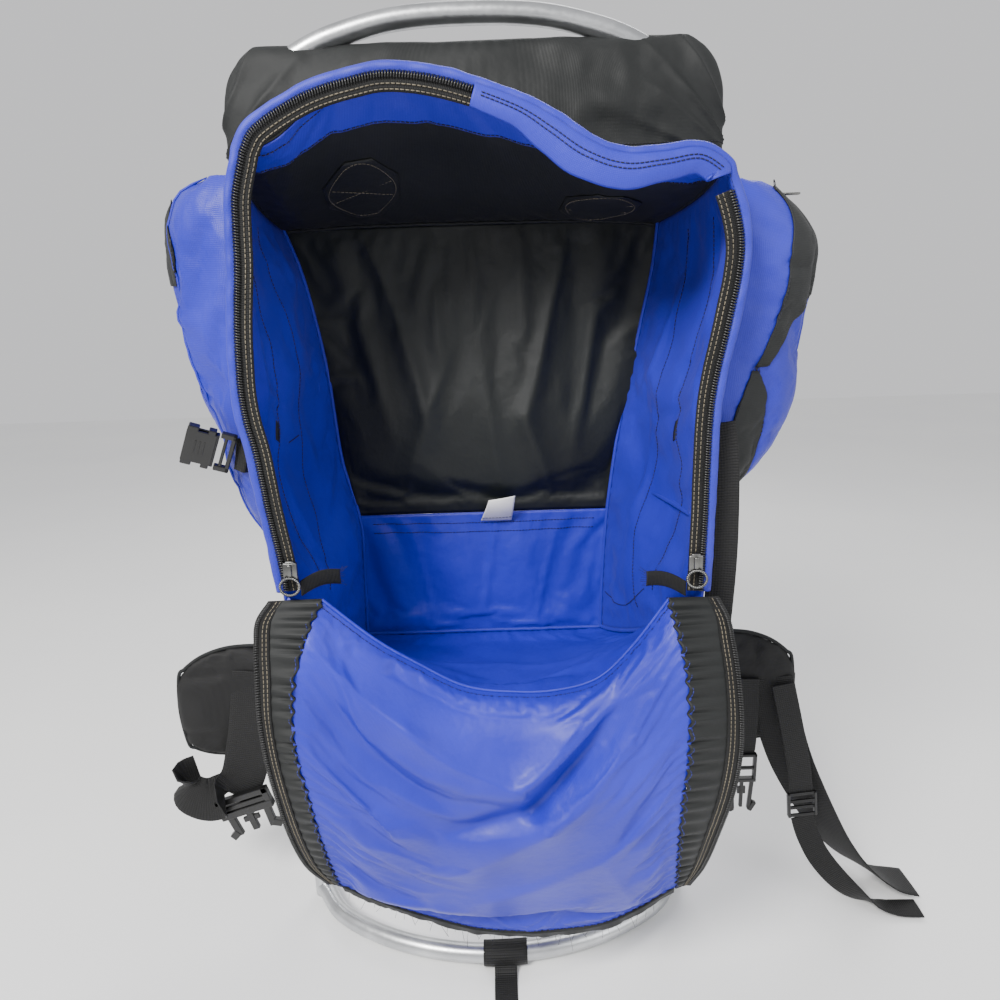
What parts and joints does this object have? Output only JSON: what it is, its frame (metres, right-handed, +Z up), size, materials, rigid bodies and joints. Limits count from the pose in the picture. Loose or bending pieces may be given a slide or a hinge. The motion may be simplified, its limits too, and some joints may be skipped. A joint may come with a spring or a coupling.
{
  "type": "external frame backpack",
  "caption": "External frame backpack with a large front-opening cloth bag, side pockets and a padded hip belt, standing on its tube frame with the front panel folded down.",
  "frame": {"origin": "on the floor, midway between the feet of the two frame rails", "axes": "+Z up, +X to the right as seen from the open front, +Y from the open front towards the wearer's side"},
  "size_m": [0.8369, 0.3275, 0.9192],
  "materials": {
    "aluminium_tube": "satin anodised tube",
    "blue_nylon": "plain woven pack cloth with a slight sheen",
    "blue_coated_nylon": "coated inner face of the pack cloth, glossy",
    "black_nylon": "plain woven pack cloth, matt",
    "black_coated_nylon": "coated inner face of black pack cloth, satin",
    "webbing": "ribbed woven strap",
    "zip_tape": "woven tape with a coil and tan stitches",
    "zip_metal": "worn painted die casting",
    "black_plastic": "moulded, fine grain",
    "white_label": "blank satin label"
  },
  "bodies": {
    "root": {"frame_tubes": "aluminium_tube", "top_sleeve": "black_nylon", "side_wall_left": "blue_nylon", "side_wall_right": "blue_nylon", "top_wall": "black_coated_nylon", "bag_floor": "blue_nylon", "back_panel": "black_coated_nylon", "back_panel_lower": "blue_coated_nylon", "mouth_hem": "blue_nylon", "zip_tape_left": "zip_tape", "zip_tape_right": "zip_tape", "top_edge_fold": "blue_nylon", "slider_left": "zip_metal", "slider_right": "zip_metal", "tape_end_left": "zip_tape", "tape_end_right": "zip_tape", "patch_left": "black_coated_nylon", "patch_right": "black_coated_nylon", "care_label": "white_label", "front_flap": "blue_coated_nylon", "flap_gusset_left": "black_nylon", "flap_gusset_right": "black_nylon", "flap_zip_left": "zip_tape", "flap_zip_right": "zip_tape", "flap_hem": "black_nylon", "pocket_left": "blue_nylon", "pocket_right": "blue_nylon", "pocket_left_panel": "black_nylon", "pocket_right_panel_upper": "black_nylon", "pocket_right_panel_lower": "black_nylon", "pocket_pull": "zip_metal", "compression_strap_left": "webbing", "compression_buckle_left": "black_plastic", "compression_strap_right": "webbing", "belt_back": "black_nylon", "hip_pad_left": "black_nylon", "hip_pad_right": "black_nylon", "belt_webbing_left": "webbing", "belt_buckle_left": "black_plastic", "belt_webbing_right": "webbing", "side_webbing_right": "webbing", "belt_buckle_right": "black_plastic", "adjuster_webbing_right": "webbing", "ladder_lock": "black_plastic", "shoulder_webbing_tail": "webbing", "shoulder_pad_left": "black_nylon", "shoulder_pad_right": "black_nylon", "shoulder_webbing_left": "webbing", "shoulder_webbing_right": "webbing", "shoulder_anchor_left": "webbing", "shoulder_anchor_right": "webbing", "shelf_webbing": "webbing", "shelf_strap": "webbing"}
  },
  "joints": []
}
